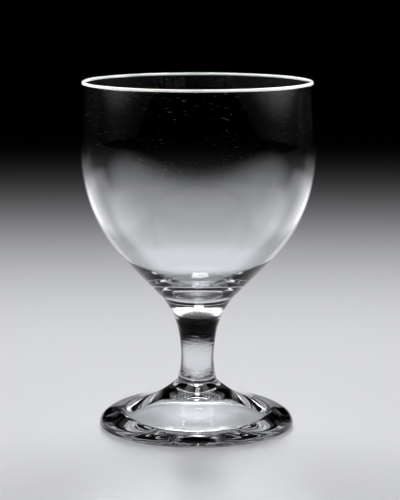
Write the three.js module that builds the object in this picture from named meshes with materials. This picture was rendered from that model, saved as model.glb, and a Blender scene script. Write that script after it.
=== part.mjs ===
// A plain drinking goblet of clear glass, in millimetres, +Z up, standing on the plane z = 0.
// A blown bowl, a solid stem and a hollowed foot are made one after the other from hot glass and
// welded together, so each pair meets face to face on a flat joint.
import * as THREE from 'three';

const degrees = THREE.MathUtils.degToRad;

// Heights along the axis, from the table up
const FOOT_HEIGHT = 19.5;
const STEM_LENGTH = 35.5;
const BOWL_HEIGHT = 95;

// Outside of the bowl: a belly, a rim drawn in a little, and a straight flank below. Leans are
// measured from the upright.
const BELLY_RADIUS = 50.6;
const BELLY_BELOW_RIM = 28.8;
const RIM_INSET = 1.4;
const FLANK_LEAN = degrees(44.4);

// Inside of the bowl: an even wall down to the flank, which leans out more inside than outside and so
// thickens down to a round floor
const WALL = 1.2;
const FLANK_WALL = 1.2;
const FLOOR_THICKNESS = 3.4;
const INNER_FLANK_LEAN = degrees(50);

// Stem: a slim waist that tapers up into the flare under the bowl and spreads towards the foot
const WAIST_RADIUS = 7.1;
const WAIST_HEIGHT = 9.5;
const WAIST_BEND = 62;
const TAPER_LEAN = degrees(12);
const JOINT_LEAN = degrees(37.5);
const STEM_SPREAD = 1.7;

// Top of the foot: a trumpet neck that eases out to a low brow and a thick rounded edge
const FOOT_RADIUS = 42.3;
const EDGE_WIDTH = 14.8;
const EDGE_HEIGHT = 7.3;
const BROW_SLOPE = degrees(10);
const LOWER_ROUND = 1;

// Underside of the foot: a narrow ring that touches the table, a nearly flat ring inside it, then a steep
// hollow with a round crown and the scar of the rod that held the glass while its rim was worked
const CONTACT_WIDTH = 2.4;
const TURN_INSET = 12.8;
const TURN_RISE = 0.6;
const TURN_ROUND = 8;
const HOLLOW_SLOPE = degrees(31);
const CROWN_COVER = 6.5;
const SCAR_RADIUS = 6;
const SCAR_BEVEL = 0.6;
const SCAR_HEIGHT = 0.6;

// Fineness of the facets
const TURNS = 72;
const LONG_ARC = 8;
const SHORT_ARC = 4;

// Where the curves of the outside meet. Heights here are from the joint between stem and bowl.
const bellyHeight = BOWL_HEIGHT - BELLY_BELOW_RIM;
const waistDepth = STEM_LENGTH - WAIST_HEIGHT;

// The waist bends into the flare, which leans at the joint by a set angle and runs on into the flank
const taperStart = leaning(TAPER_LEAN).multiplyScalar(-WAIST_BEND).add(at(WAIST_RADIUS + WAIST_BEND, -waistDepth));
const flareRadius = -taperStart.y / (Math.sin(JOINT_LEAN) - Math.sin(TAPER_LEAN));
const flareCentre = leaning(TAPER_LEAN).multiplyScalar(flareRadius).add(taperStart);
const bowlJointRadius = flareCentre.x - flareRadius * Math.cos(JOINT_LEAN);
const footJointRadius = WAIST_RADIUS + STEM_SPREAD;

// Below the belly the outside is half of an upright oval, as deep as lets the flank touch it
const flankReach = flareCentre.dot(leaning(FLANK_LEAN)) - flareRadius;
const bellyReach = flankReach + bellyHeight * Math.sin(FLANK_LEAN);
const bellyDrop = Math.sqrt(bellyReach ** 2 - (BELLY_RADIUS * Math.cos(FLANK_LEAN)) ** 2) / Math.sin(FLANK_LEAN);
const bellyTurn = Math.atan(Math.tan(FLANK_LEAN) * bellyDrop / BELLY_RADIUS);

// A point of a lathe profile: its distance from the axis and its height
function at(radius, height) {
  return new THREE.Vector2(radius, height);
}

// Direction square to a line that leans outwards by an angle, pointing down and out
function leaning(angle) {
  return at(Math.cos(angle), -Math.sin(angle));
}

// Direction square to a line that falls outwards by an angle, pointing up and out
function sloping(angle) {
  return at(Math.sin(angle), Math.cos(angle));
}

// Radius of the circle that bends away from its tangent by a set depth over a set length
function bendRadius(length, depth) {
  return (length ** 2 + depth ** 2) / (2 * depth);
}

// Points along part of an ellipse in the profile's plane
function oval(centre, radiusOut, radiusUp, from, to, steps) {
  const curve = new THREE.EllipseCurve(centre.x, centre.y, radiusOut, radiusUp, from, to, to < from);
  return curve.getPoints(steps);
}

function arc(centre, radius, from, to, steps) {
  return oval(centre, radius, radius, from, to, steps);
}

// Part of a circle that falls outwards, from one slope to another, seen from its centre above
function hollowArc(centre, radius, fromSlope, toSlope, steps) {
  return arc(centre, radius, -Math.PI / 2 - fromSlope, -Math.PI / 2 - toSlope, steps);
}

// A profile that starts and ends on the axis, turned about +Z
function turned(name, profile) {
  const geometry = new THREE.LatheGeometry(profile, TURNS);
  geometry.rotateX(Math.PI / 2);
  const mesh = new THREE.Mesh(geometry, clearGlass());
  mesh.name = name;
  return mesh;
}

// Clear, faintly cool glass with a fire-polished surface
function clearGlass() {
  return new THREE.MeshStandardMaterial({
    color: 0xe4ebee,
    roughness: 0.04,
    metalness: 0,
    transparent: true,
    opacity: 0.35,
  });
}

// Underside of the foot, from the axis out to the ring on the table
function footUnderside(contactInner) {
  const turn = at(FOOT_RADIUS - TURN_INSET, TURN_RISE);
  const crown = at(0, FOOT_HEIGHT - CROWN_COVER);

  // The crown is as round as lets it touch the straight side that climbs in from the turn
  const crownRadius = turn.clone().sub(crown).dot(sloping(HOLLOW_SLOPE)) / (1 - Math.cos(HOLLOW_SLOPE));
  const crownCentre = at(0, crown.y - crownRadius);
  const ringSlope = Math.atan2(TURN_RISE, contactInner - turn.x);

  // The turn between the two slopes is rounded
  const cut = TURN_ROUND * Math.tan((HOLLOW_SLOPE - ringSlope) / 2);
  const turnCentre = turn.clone().add(at(-Math.cos(HOLLOW_SLOPE), Math.sin(HOLLOW_SLOPE)).multiplyScalar(cut));
  turnCentre.addScaledVector(sloping(HOLLOW_SLOPE), TURN_ROUND);

  // The scar stands a little out of the crown
  const scarTurn = Math.acos((SCAR_RADIUS + SCAR_BEVEL) / crownRadius);
  const scarHeight = crownCentre.y + crownRadius * Math.sin(scarTurn) - SCAR_HEIGHT;

  return [
    at(0, scarHeight),
    at(SCAR_RADIUS, scarHeight),
    ...arc(crownCentre, crownRadius, scarTurn, Math.PI / 2 - HOLLOW_SLOPE, SHORT_ARC),
    ...hollowArc(turnCentre, TURN_ROUND, HOLLOW_SLOPE, ringSlope, SHORT_ARC),
    at(contactInner, 0),
  ];
}

// Foot, with its origin on the table
function makeFoot() {
  const contactEdge = FOOT_RADIUS - LOWER_ROUND;
  const contactInner = contactEdge - CONTACT_WIDTH;
  const lowerCentre = at(contactEdge, LOWER_ROUND);
  const edgeCentre = at(FOOT_RADIUS - EDGE_WIDTH, LOWER_ROUND);

  // The brow is where the edge's oval has flattened to the brow's slope, and the neck is the one arc
  // that leaves it without a break and reaches the stem
  const browTurn = Math.atan2(EDGE_HEIGHT, EDGE_WIDTH * Math.tan(BROW_SLOPE));
  const brow = edgeCentre.clone().add(at(EDGE_WIDTH * Math.cos(browTurn), EDGE_HEIGHT * Math.sin(browTurn)));
  const seam = at(footJointRadius, FOOT_HEIGHT);
  const browToSeam = seam.clone().sub(brow);
  const neckRadius = browToSeam.lengthSq() / (2 * browToSeam.dot(sloping(BROW_SLOPE)));
  const neckCentre = brow.clone().addScaledVector(sloping(BROW_SLOPE), neckRadius);
  const neckSlope = Math.asin((neckCentre.x - seam.x) / neckRadius);

  return turned('foot', [
    ...footUnderside(contactInner),
    at(contactEdge, 0),
    ...arc(lowerCentre, LOWER_ROUND, -Math.PI / 2, 0, SHORT_ARC).slice(1),
    ...oval(edgeCentre, EDGE_WIDTH, EDGE_HEIGHT, 0, browTurn, LONG_ARC).slice(1),
    ...hollowArc(neckCentre, neckRadius, BROW_SLOPE, neckSlope, LONG_ARC).slice(1, -1),
    seam,
    at(0, FOOT_HEIGHT),
  ]);
}

// Stem, with its origin at the joint with the foot
function makeStem() {
  const spreadRadius = bendRadius(WAIST_HEIGHT, STEM_SPREAD);
  const spreadTurn = Math.asin(WAIST_HEIGHT / spreadRadius);
  const spreadCentre = at(WAIST_RADIUS + spreadRadius, WAIST_HEIGHT);
  const bendCentre = at(WAIST_RADIUS + WAIST_BEND, WAIST_HEIGHT);
  const upperCentre = at(flareCentre.x, STEM_LENGTH + flareCentre.y);

  return turned('stem', [
    at(0, 0),
    at(footJointRadius, 0),
    ...arc(spreadCentre, spreadRadius, Math.PI + spreadTurn, Math.PI, SHORT_ARC).slice(1),
    ...arc(bendCentre, WAIST_BEND, Math.PI, Math.PI - TAPER_LEAN, SHORT_ARC).slice(1),
    ...arc(upperCentre, flareRadius, Math.PI - TAPER_LEAN, Math.PI - JOINT_LEAN, LONG_ARC).slice(1, -1),
    at(bowlJointRadius, STEM_LENGTH),
    at(0, STEM_LENGTH),
  ]);
}

// Bowl, with its origin at the joint with the stem
function makeBowl() {
  const bellyCentre = at(0, bellyHeight);

  // Above the belly both faces of the wall follow circles with one centre, and the lip is a half round
  const sideRadius = bendRadius(BELLY_BELOW_RIM, RIM_INSET);
  const sideCentre = at(BELLY_RADIUS - sideRadius, bellyHeight);
  const lip = WALL / 2;
  const lipReach = sideRadius - lip;
  const lipTurn = Math.asin((BELLY_BELOW_RIM - lip) / lipReach);
  const lipCentre = at(sideCentre.x + lipReach * Math.cos(lipTurn), BOWL_HEIGHT - lip);

  // The inner flank is set in from the top of the outer one
  const flankTop = at(BELLY_RADIUS * Math.cos(bellyTurn), bellyHeight - bellyDrop * Math.sin(bellyTurn));
  const inside = flankTop.clone().addScaledVector(leaning(FLANK_LEAN), -FLANK_WALL);

  // It touches the round floor below it and the inner belly above it
  const floorReach = inside.dot(leaning(INNER_FLANK_LEAN)) + FLOOR_THICKNESS * Math.sin(INNER_FLANK_LEAN);
  const floorRadius = floorReach / (1 - Math.sin(INNER_FLANK_LEAN));
  const floorCentre = at(0, FLOOR_THICKNESS + floorRadius);
  const innerReach = inside.x + Math.tan(INNER_FLANK_LEAN) * (bellyHeight - inside.y);
  const innerRadius = BELLY_RADIUS - WALL;
  const innerDrop = Math.sqrt(innerReach ** 2 - innerRadius ** 2) / Math.tan(INNER_FLANK_LEAN);
  const innerTurn = Math.acos(innerRadius / innerReach);

  return turned('bowl', [
    at(0, 0),
    at(bowlJointRadius, 0),
    ...arc(flareCentre, flareRadius, Math.PI - JOINT_LEAN, Math.PI - FLANK_LEAN, SHORT_ARC).slice(1),
    ...oval(bellyCentre, BELLY_RADIUS, bellyDrop, -bellyTurn, 0, LONG_ARC),
    ...arc(sideCentre, sideRadius, 0, lipTurn, SHORT_ARC).slice(1),
    ...arc(lipCentre, lip, lipTurn, lipTurn + Math.PI, LONG_ARC).slice(1),
    ...arc(sideCentre, sideRadius - WALL, lipTurn, 0, SHORT_ARC).slice(1),
    ...oval(bellyCentre, innerRadius, innerDrop, 0, -innerTurn, LONG_ARC).slice(1),
    ...hollowFloor(floorCentre, floorRadius),
    at(0, FLOOR_THICKNESS),
  ]);
}

// Round floor of the bowl, from the inner flank towards the axis
function hollowFloor(centre, radius) {
  return arc(centre, radius, -INNER_FLANK_LEAN, -Math.PI / 2, LONG_ARC).slice(0, -1);
}

// The goblet: each piece stands on the one below
const foot = makeFoot();
const stem = makeStem();
stem.position.z = FOOT_HEIGHT;
const bowl = makeBowl();
bowl.position.z = FOOT_HEIGHT + STEM_LENGTH;

const goblet = new THREE.Group();
goblet.add(foot, stem, bowl);

export default goblet;
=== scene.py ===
from math import acos, asin, atan, atan2, cos, pi, radians, sin, sqrt, tan

import bpy
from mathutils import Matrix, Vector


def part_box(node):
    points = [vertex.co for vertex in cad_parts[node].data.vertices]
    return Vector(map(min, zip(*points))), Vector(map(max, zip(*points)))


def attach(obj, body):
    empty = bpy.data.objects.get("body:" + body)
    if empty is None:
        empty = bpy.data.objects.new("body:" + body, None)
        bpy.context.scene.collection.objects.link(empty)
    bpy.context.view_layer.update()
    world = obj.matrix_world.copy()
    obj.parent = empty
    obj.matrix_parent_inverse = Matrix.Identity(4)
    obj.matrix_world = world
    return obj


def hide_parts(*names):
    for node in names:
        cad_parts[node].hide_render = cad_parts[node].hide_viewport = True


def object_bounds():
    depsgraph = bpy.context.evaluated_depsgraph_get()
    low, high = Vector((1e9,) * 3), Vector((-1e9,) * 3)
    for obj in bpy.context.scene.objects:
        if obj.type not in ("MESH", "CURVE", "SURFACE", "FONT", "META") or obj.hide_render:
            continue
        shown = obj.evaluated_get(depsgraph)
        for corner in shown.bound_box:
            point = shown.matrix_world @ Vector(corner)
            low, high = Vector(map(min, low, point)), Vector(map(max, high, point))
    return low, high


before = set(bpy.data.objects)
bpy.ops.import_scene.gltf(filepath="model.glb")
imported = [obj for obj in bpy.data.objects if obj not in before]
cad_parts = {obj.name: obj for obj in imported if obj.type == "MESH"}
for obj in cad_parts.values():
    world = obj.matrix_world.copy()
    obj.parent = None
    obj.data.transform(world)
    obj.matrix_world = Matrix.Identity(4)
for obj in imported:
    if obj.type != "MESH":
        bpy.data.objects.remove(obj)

cad_low, cad_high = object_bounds()

# Camera: a long lens a little above the rim, square to the goblet, as catalogue pictures of
# glass are taken. The goblet stands a little left of the middle of the frame.
camera_distance = 0.800
camera_height = 0.20957
camera_tilt = radians(9.424)

camera_lens = bpy.data.cameras.new("camera")
camera_lens.sensor_fit = "VERTICAL"
camera_lens.sensor_height = 36
camera_lens.lens = 135
camera_lens.shift_x = 0.0048
camera_lens.clip_end = 30
camera = bpy.data.objects.new("camera", camera_lens)
camera.location = (0, -camera_distance, camera_height)
camera.rotation_euler = (pi / 2 - camera_tilt, 0, 0)
bpy.context.collection.objects.link(camera)
bpy.context.scene.camera = camera

bpy.context.scene.view_settings.view_transform = "Standard"
bpy.context.scene.cycles.max_bounces = 32
bpy.context.scene.cycles.transmission_bounces = 24
bpy.context.scene.cycles.glossy_bounces = 16
bpy.context.scene.cycles.transparent_max_bounces = 32


# Table: a pale satin board that shines back the panel behind it, so it is brightest towards the
# camera. A pool of light, painted into its colour, lies round the goblet and dies away to black
# behind it. Its painted shade and glow stay where the foot stands, seen from any side.
table_side = 1.3
table_front = -0.45
table_back = 2.6
table_gap = 0.0002
board_colour = (0.700, 0.705, 0.732)
board_roughness = 0.45
board_glow = 0.15

# A pool of light painted into the board's colour
pool_behind = 0.06
pool_reach = 0.48
pool_edge = 2.4
pool_stretch = 0.4

# Painted shade on the board in front of the foot
foot_shade = 0.22
foot_shade_middle = -0.10
foot_shade_from = 0.02
foot_shade_reach = 0.12

# Glow painted on the board under the foot, and painted shade under the front of its edge
foot_shift = -0.0005
under_foot = 0.0422
under_foot_edge = 0.001
under_foot_glow = 0.30
ring_shade_inner = 0.028
ring_shade_outer = 0.031
ring_shade_front = -0.012
ring_shade_back = 0.010

# Glow painted on the board outside the picture, standing in for light cards
front_glow = 0.6
front_glow_from = -0.12
front_glow_full = -0.16
side_glow = 1.3
side_glow_edge = 0.04
beside_picture = 0.107
side_glow_front = 0.55
side_glow_front_from = -0.15
side_glow_front_to = 0.0
side_glow_back = 0.6
side_glow_back_from = 0.2
side_glow_back_to = 0.45
glow_middle = (0, -0.05, 0)
glow_reach_front = 0.38
glow_reach_back = 0.7
glow_reach_turn = 0.15
glow_fade = 0.6


def put(tree, kind, inputs={}, **settings):
    """Adds a node to a tree, sets it up, and links or fills its inputs."""
    made = tree.nodes.new(kind)
    for name, value in settings.items():
        setattr(made, name, value)
    for name, value in inputs.items():
        if isinstance(value, bpy.types.NodeSocket):
            tree.links.new(value, made.inputs[name])
        else:
            made.inputs[name].default_value = value
    return made


def maths(tree, operation, *values):
    """Adds a Math node and returns what it gives out."""
    return put(tree, "ShaderNodeMath", dict(enumerate(values)), operation=operation).outputs[0]


def product(tree, first, *others):
    """Multiplies values one after another."""
    for other in others:
        first = maths(tree, "MULTIPLY", first, other)
    return first


def vectors(tree, operation, *values):
    """Adds a Vector Math node and returns the vector that it gives out."""
    return put(tree, "ShaderNodeVectorMath", dict(enumerate(values)), operation=operation).outputs[0]


def distance_from(tree, point, centre, stretch=(1, 1, 0)):
    """Distance of a point from a centre, with each axis stretched first."""
    apart = vectors(tree, "SUBTRACT", point, centre)
    scaled = vectors(tree, "MULTIPLY", apart, stretch)
    return put(tree, "ShaderNodeVectorMath", {0: scaled}, operation="LENGTH").outputs["Value"]


def between(tree, value, start, end, from_value, to_value):
    """A value that runs smoothly from one number to another over a range."""
    return put(tree, "ShaderNodeMapRange", {
        "Value": value, "From Min": start, "From Max": end, "To Min": from_value, "To Max": to_value,
    }, interpolation_type="SMOOTHSTEP").outputs["Result"]


def pool_light(tree, place):
    """Pool of light painted on the board, less a painted shade that the foot keeps off it."""
    from_pool = distance_from(tree, place, (0, pool_behind, 0), (pool_stretch, 1, 0))
    share = maths(tree, "POWER", maths(tree, "DIVIDE", from_pool, pool_reach), pool_edge)
    light = maths(tree, "EXPONENT", maths(tree, "MULTIPLY", share, -1.0))
    from_shade = distance_from(tree, place, (0, foot_shade_middle, 0))
    shade = between(tree, from_shade, foot_shade_from, foot_shade_reach, foot_shade, 0)
    return maths(tree, "MULTIPLY", light, maths(tree, "SUBTRACT", 1.0, shade))


def under_foot_light(tree, place, depth):
    """Painted glow on the board: more under the foot, where glass gathers light, and a painted shade
    that takes it away under the front of its thick edge."""
    from_axis = distance_from(tree, place, (foot_shift, 0, 0))
    full = under_foot - under_foot_edge
    glow = between(tree, from_axis, full, under_foot, under_foot_glow, board_glow)
    shaded = product(
        tree,
        between(tree, from_axis, ring_shade_inner, ring_shade_outer, 0, 1),
        between(tree, depth, ring_shade_front, ring_shade_back, 1, 0),
        between(tree, from_axis, full, under_foot, 1, 0))
    return maths(tree, "MULTIPLY", glow, maths(tree, "SUBTRACT", 1.0, shaded))


def mirrored_light(tree, place, across, depth):
    """Glow painted on the board outside the picture, in front and at the sides, standing in for light
    cards. Only what mirrors it shows it, so the board itself stays as it is from every side."""
    front = between(tree, depth, front_glow_from, front_glow_full, 0, front_glow)
    edge = maths(tree, "MULTIPLY_ADD", depth, beside_picture, beside_picture)
    aside = maths(tree, "SUBTRACT", maths(tree, "ABSOLUTE", across), edge)
    side = product(
        tree,
        between(tree, aside, 0.0, side_glow_edge, 0, side_glow),
        between(tree, depth, side_glow_front_from, side_glow_front_to, side_glow_front, 1),
        between(tree, depth, side_glow_back_from, side_glow_back_to, 1, side_glow_back))
    reach = between(tree, depth, 0.0, glow_reach_turn, glow_reach_front, glow_reach_back)
    far = maths(tree, "DIVIDE", distance_from(tree, place, glow_middle), reach)
    near = between(tree, far, glow_fade, 1.0, 1, 0)
    mirrorings = put(tree, "ShaderNodeLightPath").outputs["Glossy Depth"]
    mirrored = maths(tree, "GREATER_THAN", mirrorings, 0.5)
    return product(tree, maths(tree, "MAXIMUM", front, side), near, mirrored)


def satin_board():
    material = bpy.data.materials.new("satin_board")
    material.use_nodes = True
    tree = material.node_tree
    tree.nodes.clear()
    place = put(tree, "ShaderNodeTexCoord").outputs["Object"]
    spot = put(tree, "ShaderNodeSeparateXYZ", {0: place}).outputs
    # The board's colour carries the painted pool of light and the painted shade in front of the foot
    painted_light_tint = put(tree, "ShaderNodeVectorMath", {
        0: board_colour, "Scale": pool_light(tree, place)}, operation="SCALE").outputs[0]
    satin = put(tree, "ShaderNodeBsdfAnisotropic", {
        "Color": painted_light_tint, "Roughness": board_roughness}).outputs[0]
    # Painted glow under the foot, less a painted shade under the front of its edge
    glow = put(tree, "ShaderNodeEmission", {
        "Color": painted_light_tint, "Strength": under_foot_light(tree, place, spot["Y"])}).outputs[0]
    # Painted glow that stands in for light cards outside the picture, seen only in reflections
    painted_card_glow = put(tree, "ShaderNodeEmission", {
        "Color": board_colour + (1,),
        "Strength": mirrored_light(tree, place, spot["X"], spot["Y"])}).outputs[0]
    lit = put(tree, "ShaderNodeAddShader", {0: glow, 1: painted_card_glow}).outputs[0]
    both = put(tree, "ShaderNodeAddShader", {0: satin, 1: lit}).outputs[0]
    put(tree, "ShaderNodeOutputMaterial", {"Surface": both})
    return material


table_mesh = bpy.data.meshes.new("table")
corners = [(-table_side, table_front, 0), (table_side, table_front, 0),
           (table_side, table_back, 0), (-table_side, table_back, 0)]
table_mesh.from_pydata(corners, [], [(0, 1, 2, 3)])
table_mesh.materials.append(satin_board())
table = bpy.data.objects.new("table", table_mesh)
table.location.z = -table_gap
bpy.context.collection.objects.link(table)


# Light: a wide tent of white cloth, brightest overhead and open behind, wraps only the bowl in soft
# light. Two lamps behind make the bright spots on the bowl and the foot, a panel overhead lights the
# stem, and a large one far behind lights the board.
tent_reach = 3.5
tent_rings = 24
tent_posts = 64
tent_shine = 2.1
tent_low = 0.28
tent_high = 0.70
tent_side_low = 0.0
tent_side_high = 0.30
opening_spread = 0.6
opening_from = 0.1
opening_full = 0.5
tent_most_mirrorings = 1.5
rough_lift = 14.0
rough_most_turns = 3.5

top_place = (0, 0.2, 1.3)
top_size = (1.2, 1.0)
top_shine = 0.45
lamp_back = 0.733
lamp_up = 0.873
lamp_turn = radians(-40)
lamp_depth = 0.5
bowl_lamp_aside = -0.03
bowl_lamp_width = 0.22
bowl_lamp_shine = 14
foot_lamp_width = 0.12
foot_lamp_shine = 6.5
panel_place = (0, 2.0, 0.9)
panel_turn = radians(-90)
panel_size = (5.0, 1.6)
panel_shine = 1.27


def tent_cloth():
    material = bpy.data.materials.new("tent_cloth")
    material.use_nodes = True
    material.cycles.emission_sampling = "NONE"
    tree = material.node_tree
    tree.nodes.clear()
    place = put(tree, "ShaderNodeTexCoord").outputs["Object"]
    toward = put(tree, "ShaderNodeSeparateXYZ", {0: vectors(tree, "NORMALIZE", place)}).outputs

    # It shines from low down at the sides, but only high up in front
    sideways = maths(tree, "MULTIPLY", toward["X"], toward["X"])
    lowest = maths(tree, "MULTIPLY_ADD", sideways, tent_side_low - tent_low, tent_low)
    highest = maths(tree, "MULTIPLY_ADD", sideways, tent_side_high - tent_high, tent_high)
    risen = between(tree, toward["Z"], lowest, highest, 0, tent_shine)

    # Straight behind the goblet it hangs open, which keeps the dark above the table dark
    beside = maths(tree, "ABSOLUTE", toward["X"])
    behind = maths(tree, "MULTIPLY_ADD", beside, -opening_spread, toward["Y"])
    hung = between(tree, behind, opening_from, opening_full, 1, 0)

    # Light mirrored more than once in the glass misses it. For light off the rough lip and the
    # scratches it is lifted far above what clear glass sees, so that the rim stands out white.
    path = put(tree, "ShaderNodeLightPath").outputs
    clear = maths(tree, "LESS_THAN", path["Glossy Depth"], tent_most_mirrorings)
    straight = maths(tree, "LESS_THAN", path["Ray Depth"], rough_most_turns)
    rough = maths(tree, "MULTIPLY", maths(tree, "SUBTRACT", 1.0, path["Is Singular Ray"]), straight)
    spread = maths(tree, "MULTIPLY_ADD", rough, rough_lift, 1.0)
    shine = product(tree, risen, hung, clear, spread)
    glow = put(tree, "ShaderNodeEmission", {"Strength": shine}).outputs[0]
    put(tree, "ShaderNodeOutputMaterial", {"Surface": glow})
    return material


on_bowl = bpy.data.collections.new("on_bowl")
on_stem = bpy.data.collections.new("on_stem")
on_foot = bpy.data.collections.new("on_foot")
on_table = bpy.data.collections.new("on_table")
on_table.objects.link(table)


def light_only(thing, pieces):
    """Hangs up a light that shines on these pieces alone and stays out of the picture."""
    thing.visible_camera = False
    thing.light_linking.receiver_collection = pieces
    bpy.context.collection.objects.link(thing)


def soft_panel(name, place, turn, size, shine, pieces):
    """A panel of even light, tipped by its turn; its shine is how bright it looks."""
    width, depth = size
    lamp = bpy.data.lights.new(name, "AREA")
    lamp.shape = "RECTANGLE"
    lamp.size = width
    lamp.size_y = depth
    lamp.energy = shine * pi * width * depth
    panel = bpy.data.objects.new(name, lamp)
    panel.location = place
    panel.rotation_euler = (turn, 0, 0)
    light_only(panel, pieces)
    return panel


tent_mesh = bpy.data.meshes.new("tent")
tent_points = [
    (tent_reach * cos(pi / 2 * ring / tent_rings) * cos(2 * pi * post / tent_posts),
     tent_reach * cos(pi / 2 * ring / tent_rings) * sin(2 * pi * post / tent_posts),
     tent_reach * sin(pi / 2 * ring / tent_rings))
    for ring in range(tent_rings) for post in range(tent_posts)] + [(0, 0, tent_reach)]
tent_faces = [
    (ring * tent_posts + post, ring * tent_posts + (post + 1) % tent_posts,
     (ring + 1) * tent_posts + (post + 1) % tent_posts, (ring + 1) * tent_posts + post)
    for ring in range(tent_rings - 1) for post in range(tent_posts)]
top_ring = (tent_rings - 1) * tent_posts
tent_faces += [
    (top_ring + post, top_ring + (post + 1) % tent_posts, tent_rings * tent_posts)
    for post in range(tent_posts)]
tent_mesh.from_pydata(tent_points, [], tent_faces)
tent_mesh.materials.append(tent_cloth())
tent = bpy.data.objects.new("tent", tent_mesh)
tent.visible_shadow = False
light_only(tent, on_bowl)

soft_panel("top_panel", top_place, 0, top_size, top_shine, on_stem)
soft_panel("bowl_lamp", (bowl_lamp_aside, lamp_back, lamp_up), lamp_turn,
           (bowl_lamp_width, lamp_depth), bowl_lamp_shine, on_bowl)
soft_panel("foot_lamp", (0, lamp_back, lamp_up), lamp_turn,
           (foot_lamp_width, lamp_depth), foot_lamp_shine, on_foot)
table_panel = soft_panel("table_panel", panel_place, panel_turn, panel_size, panel_shine, on_table)
table_panel.light_linking.blocker_collection = on_table

world = bpy.data.worlds.new("dark_room")
world.use_nodes = True
world.node_tree.nodes["Background"].inputs["Color"].default_value = (0, 0, 0, 1)
bpy.context.scene.world = world


# Foot: a disc of solid clear glass, pressed out and pulled up in the middle while hot. Its trumpet
# neck eases out to a thick rounded edge, and a hollow underneath ends in the scar of the iron rod.
foot_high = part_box("foot")[1]
foot_radius = foot_high.x
foot_height = foot_high.z
edge_width = 0.0148
edge_height = 0.0073
brow_slope = radians(10)
lower_round = 0.001
contact_width = 0.0024
turn_inset = 0.0128
turn_rise = 0.0006
turn_round = 0.008
ring_round = 0.002
hollow_slope = radians(31)
crown_cover = 0.0065
scar_radius = 0.006
scar_bevel = 0.0006
scar_height = 0.0006
foot_joint_radius = 0.0088


def arc(centre, radii, start, end, steps):
    """Points along part of an ellipse in the upright plane: distance from the axis, and height."""
    return [
        (centre[0] + radii[0] * cos(start + (end - start) * step / steps),
         centre[1] + radii[1] * sin(start + (end - start) * step / steps))
        for step in range(steps + 1)
    ]


def falling_arc(centre, radius, from_slope, to_slope, steps):
    """Part of a circle that falls outwards, seen from its centre above."""
    return arc(centre, (radius, radius), -pi / 2 - from_slope, -pi / 2 - to_slope, steps)


def foot_outline():
    # The hollow's crown meets its straight side, which turns into the nearly flat ring
    contact_edge = foot_radius - lower_round
    contact_inner = contact_edge - contact_width
    turn = (foot_radius - turn_inset, turn_rise)
    crown_top = foot_height - crown_cover
    touch = turn[0] * sin(hollow_slope) - (crown_top - turn_rise) * cos(hollow_slope)
    crown_radius = touch / (1 - cos(hollow_slope))
    crown_z = crown_top - crown_radius
    ring_slope = atan2(turn_rise, contact_inner - turn[0])
    cut = turn_round * tan((hollow_slope - ring_slope) / 2)
    turn_centre = (turn[0] - cut * cos(hollow_slope) + turn_round * sin(hollow_slope),
                   turn[1] + cut * sin(hollow_slope) + turn_round * cos(hollow_slope))
    scar_turn = acos((scar_radius + scar_bevel) / crown_radius)
    scar_z = crown_z + crown_radius * sin(scar_turn) - scar_height
    rest_centre = (contact_inner + ring_round * tan(ring_slope / 2), ring_round)
    underside = [
        (0, scar_z), (scar_radius / 2, scar_z), (scar_radius, scar_z),
        *arc((0, crown_z), (crown_radius, crown_radius), scar_turn, pi / 2 - hollow_slope, 24),
        *falling_arc(turn_centre, turn_round, hollow_slope, ring_slope, 10),
        *falling_arc(rest_centre, ring_round, ring_slope, 0, 8),
    ]

    # The oval edge rises to the brow, and the trumpet neck runs from there to the weld
    oval_centre = (foot_radius - edge_width, lower_round)
    brow_turn = atan2(edge_height, edge_width * tan(brow_slope))
    brow = (oval_centre[0] + edge_width * cos(brow_turn),
            oval_centre[1] + edge_height * sin(brow_turn))
    seam = (foot_joint_radius, foot_height)
    out, up = seam[0] - brow[0], seam[1] - brow[1]
    neck_radius = (out ** 2 + up ** 2) / (2 * (out * sin(brow_slope) + up * cos(brow_slope)))
    neck_centre = (brow[0] + neck_radius * sin(brow_slope), brow[1] + neck_radius * cos(brow_slope))
    neck_slope = asin((neck_centre[0] - seam[0]) / neck_radius)
    return [
        *underside,
        (contact_edge, 0),
        *arc((contact_edge, lower_round), (lower_round, lower_round), -pi / 2, 0, 10)[1:],
        *arc(oval_centre, (edge_width, edge_height), 0, brow_turn, 48)[1:],
        *falling_arc(neck_centre, neck_radius, brow_slope, neck_slope, 64)[1:-1],
        seam,
        (0, foot_height),
    ]


goblet_height = cad_high.z
turns = 240
out_of_round = 0.00012
swell_climb = 18.0
swell_scale = 0.9
swell_seed = 3.0
swell_from_axis = 0.006
merge_distance = 0.000001
sway_range = 0.002
sways = ((0.008, foot_shift), (0.030, -0.0001), (0.056, 0.0001), (0.090, 0.0004), (0.125, 0.0003))


def sway_share(shift):
    """Where a sideways shift lies on the curve, which runs from 0 to 1."""
    return 0.5 + shift / sway_range


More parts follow.
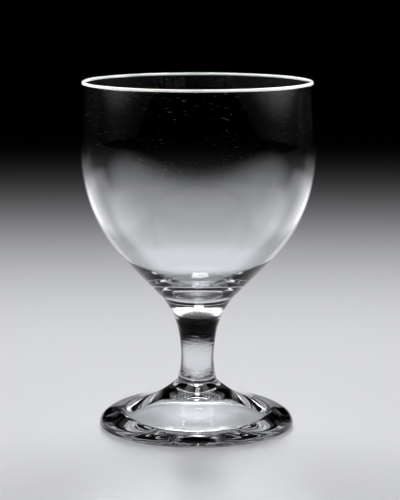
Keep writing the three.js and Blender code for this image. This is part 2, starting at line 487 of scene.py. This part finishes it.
def hand_turned_tree():
    """Geometry Nodes: turns a half outline about the axis, a little out of round and out of line,
    closes its seam and poles, and gives the discs inside the welds their own material."""
    tree = bpy.data.node_groups.new("hand_turned", "GeometryNodeTree")
    tree.interface.new_socket("Outline", in_out="INPUT", socket_type="NodeSocketGeometry")
    for name, kind, value in (
        ("Turns", "NodeSocketInt", turns),
        ("Weld Below", "NodeSocketBool", False),
        ("Weld Above", "NodeSocketBool", False),
        ("Out of Round", "NodeSocketFloat", out_of_round),
        ("Glass", "NodeSocketMaterial", None),
        ("Weld", "NodeSocketMaterial", None),
    ):
        socket = tree.interface.new_socket(name, in_out="INPUT", socket_type=kind)
        if value is not None:
            socket.default_value = value
    tree.interface.new_socket("Glass Piece", in_out="OUTPUT", socket_type="NodeSocketGeometry")
    given = put(tree, "NodeGroupInput").outputs

    # A grid with one row for each point of the outline and one column for each turn
    count = put(tree, "GeometryNodeAttributeDomainSize", {
        "Geometry": given["Outline"]}).outputs["Point Count"]
    columns = maths(tree, "ADD", given["Turns"], 1.0)
    grid = put(tree, "GeometryNodeMeshGrid", {
        "Size X": 1.0, "Size Y": 1.0, "Vertices X": count, "Vertices Y": columns}).outputs["Mesh"]
    index = put(tree, "GeometryNodeInputIndex").outputs[0]
    row = maths(tree, "FLOOR", maths(tree, "DIVIDE", maths(tree, "ADD", index, 0.5), columns))
    column = maths(tree, "SUBTRACT", index, maths(tree, "MULTIPLY", row, columns))
    position = put(tree, "GeometryNodeInputPosition").outputs[0]
    outline = put(tree, "GeometryNodeSampleIndex", {
        "Geometry": given["Outline"], "Value": position, "Index": row,
    }, data_type="FLOAT_VECTOR", domain="POINT").outputs["Value"]
    flat = put(tree, "ShaderNodeSeparateXYZ", {0: outline}).outputs

    # Round the axis, with a slow swell that differs from side to side
    angle = maths(tree, "MULTIPLY", maths(tree, "DIVIDE", column, given["Turns"]), 2 * pi)
    across, deep = maths(tree, "COSINE", angle), maths(tree, "SINE", angle)
    side = put(tree, "ShaderNodeCombineXYZ", {
        0: across, 1: deep, 2: maths(tree, "MULTIPLY", flat["Z"], swell_climb)}).outputs[0]
    swell = put(tree, "ShaderNodeTexNoise", {
        "Vector": side, "W": swell_seed, "Scale": swell_scale, "Detail": 1.0,
    }, noise_dimensions="4D").outputs["Fac"]
    push = maths(tree, "MULTIPLY", maths(tree, "SUBTRACT", swell, 0.5), given["Out of Round"])
    share = maths(tree, "MINIMUM", maths(tree, "DIVIDE", flat["X"], swell_from_axis), 1.0)
    radius = maths(tree, "ADD", flat["X"], maths(tree, "MULTIPLY", push, share))

    # The bowl is set on a hair to the right of the foot
    sway = put(tree, "ShaderNodeFloatCurve", {
        "Value": maths(tree, "DIVIDE", flat["Z"], goblet_height)})
    bend = sway.mapping.curves[0]
    bend.points[0].location = (0, sway_share(foot_shift))
    bend.points[1].location = (1, sway_share(0))
    for height, shift in sways:
        bend.points.new(height / goblet_height, sway_share(shift))
    sway.mapping.update()
    aside = maths(tree, "MULTIPLY", maths(tree, "SUBTRACT", sway.outputs[0], 0.5), sway_range)
    x = maths(tree, "ADD", maths(tree, "MULTIPLY", radius, across), aside)
    place = put(tree, "ShaderNodeCombineXYZ", {
        0: x, 1: maths(tree, "MULTIPLY", radius, deep), 2: flat["Z"]}).outputs[0]
    turned = put(tree, "GeometryNodeSetPosition", {"Geometry": grid, "Position": place}).outputs[0]

    # The first and last rows of faces are the discs inside the welds
    half_on = maths(tree, "ADD", index, 0.5)
    face_row = maths(tree, "FLOOR", maths(tree, "DIVIDE", half_on, given["Turns"]))
    last_row = maths(tree, "SUBTRACT", count, 2.0)
    is_first = maths(tree, "LESS_THAN", face_row, 0.5)
    below = put(tree, "FunctionNodeBooleanMath", {
        0: given["Weld Below"], 1: is_first}, operation="AND").outputs[0]
    is_last = maths(tree, "GREATER_THAN", face_row, maths(tree, "SUBTRACT", last_row, 0.5))
    above = put(tree, "FunctionNodeBooleanMath", {
        0: given["Weld Above"], 1: is_last}, operation="AND").outputs[0]
    either = put(tree, "FunctionNodeBooleanMath", {0: below, 1: above}, operation="OR").outputs[0]
    kept = put(tree, "GeometryNodeStoreNamedAttribute", {
        "Geometry": turned, "Name": "weld", "Value": either},
        data_type="BOOLEAN", domain="FACE").outputs[0]
    closed = put(tree, "GeometryNodeMergeByDistance", {
        "Geometry": kept, "Distance": merge_distance}).outputs[0]
    outwards = put(tree, "GeometryNodeFlipFaces", {"Mesh": closed}).outputs[0]
    weld = put(tree, "GeometryNodeInputNamedAttribute", {
        "Name": "weld"}, data_type="BOOLEAN").outputs[0]
    skin = put(tree, "FunctionNodeBooleanMath", {0: weld}, operation="NOT").outputs[0]
    smooth = put(tree, "GeometryNodeSetShadeSmooth", {
        "Geometry": outwards, "Shade Smooth": skin}).outputs[0]
    real = put(tree, "GeometryNodeRealizeInstances", {"Geometry": smooth}).outputs[0]
    glass = put(tree, "GeometryNodeSetMaterial", {
        "Geometry": real, "Material": given["Glass"]}).outputs[0]
    done = put(tree, "GeometryNodeSetMaterial", {
        "Geometry": glass, "Selection": weld, "Material": given["Weld"]}).outputs[0]
    put(tree, "NodeGroupOutput", {0: done})
    return tree


hand_turned = hand_turned_tree()

# Where two pieces were fused hot there is no surface left, so light passes straight on
fused = bpy.data.materials.new("fused_weld")
fused.use_nodes = True
fused.node_tree.nodes["Principled BSDF"].inputs["Alpha"].default_value = 0.0


def turn_glass(name, outline, material, *welds):
    """Turns an outline into a finished piece: the modifier's result as a plain mesh."""
    wire = bpy.data.meshes.new(name + "_outline")
    edges = [(i, i + 1) for i in range(len(outline) - 1)]
    wire.from_pydata([(radius, 0, z) for radius, z in outline], edges, [])
    blank = bpy.data.objects.new(name + "_blank", wire)
    bpy.context.collection.objects.link(blank)
    modifier = blank.modifiers.new("turn", "NODES")
    modifier.node_group = hand_turned
    sockets = {item.name: item.identifier for item in hand_turned.interface.items_tree}
    modifier[sockets["Glass"]] = material
    modifier[sockets["Weld"]] = fused
    for weld in welds:
        modifier[sockets[weld]] = True
    graph = bpy.context.evaluated_depsgraph_get()
    mesh = bpy.data.meshes.new_from_object(blank.evaluated_get(graph))
    mesh.name = name
    blank.modifiers.remove(modifier)
    bpy.data.objects.remove(blank)
    piece = bpy.data.objects.new(name, mesh)
    bpy.context.collection.objects.link(piece)
    return piece


glass_colour = (0.978, 0.988, 1.0, 1)
glass_bend = 1.5
line_slant = (radians(6), radians(14), 0)
line_stretch = (0.12, 0.12, 1.0)
millimetres = 1000
foot_ripple_scale = 40.0
foot_ripple = 0.0004
foot_line_scale = 200.0
foot_line = 0.0001


def hand_worked_group():
    """Shader node group: the height of the faint ripples that tools and heat leave in glass."""
    group = bpy.data.node_groups.new("hand_worked", "ShaderNodeTree")
    group.interface.new_socket("Place", in_out="INPUT", socket_type="NodeSocketVector")
    for name in ("Ripple Scale", "Ripple Height", "Line Scale", "Line Height"):
        group.interface.new_socket(name, in_out="INPUT", socket_type="NodeSocketFloat")
    group.interface.new_socket("Height", in_out="OUTPUT", socket_type="NodeSocketFloat")
    given = put(group, "NodeGroupInput").outputs
    ripple = put(group, "ShaderNodeTexNoise", {
        "Vector": given["Place"], "Scale": given["Ripple Scale"], "Detail": 1.5}).outputs["Fac"]

    # Tool lines run round the piece and climb a little
    slant = put(group, "ShaderNodeMapping", {
        "Vector": given["Place"], "Rotation": line_slant, "Scale": line_stretch}).outputs[0]
    lines = put(group, "ShaderNodeTexNoise", {
        "Vector": slant, "Scale": given["Line Scale"], "Detail": 2.0}).outputs["Fac"]
    height = maths(group, "ADD", maths(group, "MULTIPLY", ripple, given["Ripple Height"]),
                   maths(group, "MULTIPLY", lines, given["Line Height"]))
    put(group, "NodeGroupOutput", {0: height})
    return group


hand_worked = hand_worked_group()


def clear_glass(name, ripple_scale, ripple_height, line_scale=300.0, line_height=0.0):
    """Clear, faintly cool glass; the heights of its ripples and tool lines are in metres."""
    material = bpy.data.materials.new(name)
    material.use_nodes = True
    tree = material.node_tree
    shader = tree.nodes["Principled BSDF"]
    shader.inputs["Base Color"].default_value = glass_colour
    shader.inputs["Roughness"].default_value = 0.0
    shader.inputs["IOR"].default_value = glass_bend
    shader.inputs["Transmission Weight"].default_value = 1.0
    worked = put(tree, "ShaderNodeGroup", node_tree=hand_worked)
    tree.links.new(put(tree, "ShaderNodeTexCoord").outputs["Object"], worked.inputs["Place"])
    worked.inputs["Ripple Scale"].default_value = ripple_scale
    worked.inputs["Ripple Height"].default_value = ripple_height * millimetres
    worked.inputs["Line Scale"].default_value = line_scale
    worked.inputs["Line Height"].default_value = line_height * millimetres
    bump = put(tree, "ShaderNodeBump", {
        "Height": worked.outputs["Height"], "Distance": 1 / millimetres, "Strength": 1.0})
    tree.links.new(bump.outputs["Normal"], shader.inputs["Normal"])
    return material


foot_glass = clear_glass(
    "foot_clear_glass", foot_ripple_scale, foot_ripple, foot_line_scale, foot_line)
foot = turn_glass("foot_glass", foot_outline(), foot_glass, "Weld Above")
on_foot.objects.link(foot)
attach(foot, "root")
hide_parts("foot")


# Stem: a short solid column of clear glass, drawn out and waisted with pincers while hot. It flares
# into the bottom of the bowl, and the pincers leave fine slanting lines on it.
stem_low, stem_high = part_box("stem")
waist_radius = 0.0071
waist_height = 0.0095
waist_bend = 0.062
taper_lean = radians(12)
joint_lean = radians(37.5)
stem_spread = foot_joint_radius - waist_radius
stem_ripple_scale = 40.0
stem_ripple = 0.0003
stem_line_scale = 1500.0
stem_line = 0.00006

waist_z = stem_low.z + waist_height
spread_radius = (waist_height ** 2 + stem_spread ** 2) / (2 * stem_spread)
spread_turn = asin(waist_height / spread_radius)
taper_x = waist_radius + waist_bend * (1 - cos(taper_lean))
taper_z = waist_z + waist_bend * sin(taper_lean)
flare_radius = (stem_high.z - taper_z) / (sin(joint_lean) - sin(taper_lean))
flare_centre = (taper_x + flare_radius * cos(taper_lean), taper_z - flare_radius * sin(taper_lean))


def stem_outline():
    spread_centre = (waist_radius + spread_radius, waist_z)
    bend_centre = (waist_radius + waist_bend, waist_z)
    flare_radii = (flare_radius, flare_radius)
    return [
        (0, stem_low.z),
        *arc(spread_centre, (spread_radius, spread_radius), pi + spread_turn, pi, 40),
        *arc(bend_centre, (waist_bend, waist_bend), pi, pi - taper_lean, 40)[1:],
        *arc(flare_centre, flare_radii, pi - taper_lean, pi - joint_lean, 60)[1:],
        (0, stem_high.z),
    ]


stem_glass = clear_glass(
    "stem_clear_glass", stem_ripple_scale, stem_ripple, stem_line_scale, stem_line)
stem = turn_glass("stem_glass", stem_outline(), stem_glass, "Weld Below", "Weld Above")
on_stem.objects.link(stem)
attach(stem, "root")
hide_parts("stem")


# Bowl: blown from one gather of clear glass, so it is thin at the rim and thick at the bottom. The
# rim was cut free and melted round in the fire, and use has left fine scratches and specks.
bowl_low, bowl_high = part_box("bowl")
belly_radius = bowl_high.x
belly_below_rim = 0.0288
rim_inset = 0.0014
flank_lean = radians(44.4)
wall = 0.0012
flank_wall = 0.0012
floor_thickness = 0.0034
inner_flank_lean = radians(50)
bowl_ripple_scale = 20.0
bowl_ripple = 0.00005
lip_roughness = 0.7
lip_from = 0.0014
lip_full = 0.0008
scratch_scale = 210.0
scratch_reach = 0.22
scratch_roughness = 0.35
scratch_sets = ((radians(10), 60, 0.975), (radians(-35), 50, 0.98), (radians(70), 40, 0.99))


def bowl_outline():
    belly_z = bowl_high.z - belly_below_rim

    # The outer flank touches the flare below and the belly's oval above
    reach = (flare_centre[0] * cos(flank_lean) + (belly_z - flare_centre[1]) * sin(flank_lean)
             - flare_radius)
    belly_drop = sqrt(reach ** 2 - (belly_radius * cos(flank_lean)) ** 2) / sin(flank_lean)
    belly_turn = atan(tan(flank_lean) * belly_drop / belly_radius)

    # The side draws in a little to the round lip
    side_radius = (belly_below_rim ** 2 + rim_inset ** 2) / (2 * rim_inset)
    side_centre = (belly_radius - side_radius, belly_z)
    inner_side = side_radius - wall
    lip = wall / 2
    lip_reach = side_radius - lip
    lip_turn = asin((belly_below_rim - lip) / lip_reach)
    lip_centre = (side_centre[0] + lip_reach * cos(lip_turn), bowl_high.z - lip)

    # The inner flank is set in from the top of the outer one, and touches the round floor and the
    # inner belly
    top = (belly_radius * cos(belly_turn), belly_z - belly_drop * sin(belly_turn))
    inside = (top[0] - flank_wall * cos(flank_lean), top[1] + flank_wall * sin(flank_lean))
    floor_z = bowl_low.z + floor_thickness
    floor_reach = inside[0] * cos(inner_flank_lean) - (inside[1] - floor_z) * sin(inner_flank_lean)
    floor_radius = floor_reach / (1 - sin(inner_flank_lean))
    floor_centre = (0, floor_z + floor_radius)
    inner_reach = inside[0] + tan(inner_flank_lean) * (belly_z - inside[1])
    inner_radius = belly_radius - wall
    inner_drop = sqrt(inner_reach ** 2 - inner_radius ** 2) / tan(inner_flank_lean)
    inner_turn = acos(inner_radius / inner_reach)
    return [
        (0, bowl_low.z),
        *arc(flare_centre, (flare_radius, flare_radius), pi - joint_lean, pi - flank_lean, 12),
        *arc((0, belly_z), (belly_radius, belly_drop), -belly_turn, 0, 90),
        *arc(side_centre, (side_radius, side_radius), 0, lip_turn, 24)[1:],
        *arc(lip_centre, (lip, lip), lip_turn, lip_turn + pi, 24)[1:],
        *arc(side_centre, (inner_side, inner_side), lip_turn, 0, 24)[1:],
        *arc((0, belly_z), (inner_radius, inner_drop), 0, -inner_turn, 90)[1:],
        *arc(floor_centre, (floor_radius, floor_radius), -inner_flank_lean, -pi / 2, 48)[:-1],
        (0, floor_z),
    ]


def scratches(tree, where, lean, across, bare):
    """Roughness of short fine scratches and specks that run one way; a share of the glass is bare."""
    grain = put(tree, "ShaderNodeMapping", {
        "Vector": where, "Rotation": (0, lean, 0), "Scale": (1.0, 1.0, across)}).outputs[0]
    cells = put(tree, "ShaderNodeTexVoronoi", {
        "Vector": grain, "Scale": scratch_scale, "Randomness": 1.0}).outputs
    tone = put(tree, "ShaderNodeSeparateColor", {0: cells["Color"]}).outputs
    kept = maths(tree, "GREATER_THAN", tone["Red"], bare)
    reach = maths(tree, "MULTIPLY", tone["Green"], scratch_reach)
    inside = maths(tree, "LESS_THAN", cells["Distance"], reach)
    return product(tree, kept, inside, scratch_roughness)


def used_glass():
    """The bowl's clear glass, with a rough lip that spreads light and the scratches of use."""
    material = clear_glass("bowl_clear_glass", bowl_ripple_scale, bowl_ripple)
    tree = material.node_tree
    where = put(tree, "ShaderNodeTexCoord").outputs["Object"]
    height = put(tree, "ShaderNodeSeparateXYZ", {0: where}).outputs["Z"]
    lip_low, lip_high = goblet_height - lip_from, goblet_height - lip_full
    rough = between(tree, height, lip_low, lip_high, 0, lip_roughness)
    for lean, across, bare in scratch_sets:
        rough = maths(tree, "MAXIMUM", rough, scratches(tree, where, lean, across, bare))
    tree.links.new(rough, tree.nodes["Principled BSDF"].inputs["Roughness"])
    return material


bowl = turn_glass("bowl_glass", bowl_outline(), used_glass(), "Weld Below")
on_bowl.objects.link(bowl)
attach(bowl, "root")
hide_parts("bowl")
